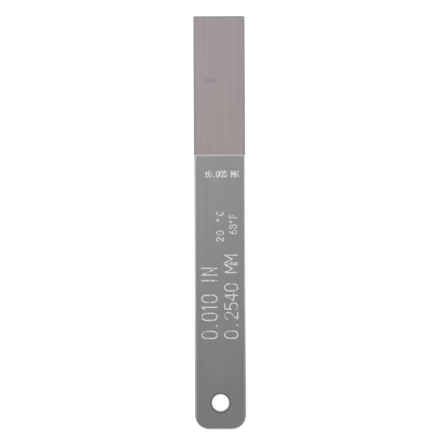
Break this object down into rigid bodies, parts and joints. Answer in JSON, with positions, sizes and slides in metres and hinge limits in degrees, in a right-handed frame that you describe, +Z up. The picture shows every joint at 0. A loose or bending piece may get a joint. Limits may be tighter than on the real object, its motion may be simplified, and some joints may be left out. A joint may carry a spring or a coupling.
{
  "type": "feeler gauge",
  "caption": "Single-leaf feeler gauge: a thin square-ended spring-steel blade riveted between the two plates of a flat steel handle with rounded end corners and a hanging hole.",
  "frame": {"origin": "middle of the outline in X and Y, on the surface that the back of the handle rests on", "axes": "+Z up out of the front face of the handle, +Y along the length towards the blade's tip, +X across the width to the right when the front face is seen with the blade upwards"},
  "size_m": [0.019, 0.1534, 0.0027],
  "materials": {
    "handle_steel": "satin",
    "blade_steel": "polished",
    "spacer_steel": "satin",
    "rivet_steel": "satin",
    "marking_white": "matte",
    "marking_dark": "matte"
  },
  "bodies": {
    "root": {"front_plate": "handle_steel", "back_plate": "handle_steel", "blade": "blade_steel", "spacer": "spacer_steel", "rivet_mouth_left": "rivet_steel", "rivet_mouth_right": "rivet_steel", "rivet_tang": "rivet_steel", "rivet_middle": "rivet_steel", "rivet_rear_left": "rivet_steel", "rivet_rear_right": "rivet_steel"}
  },
  "joints": []
}
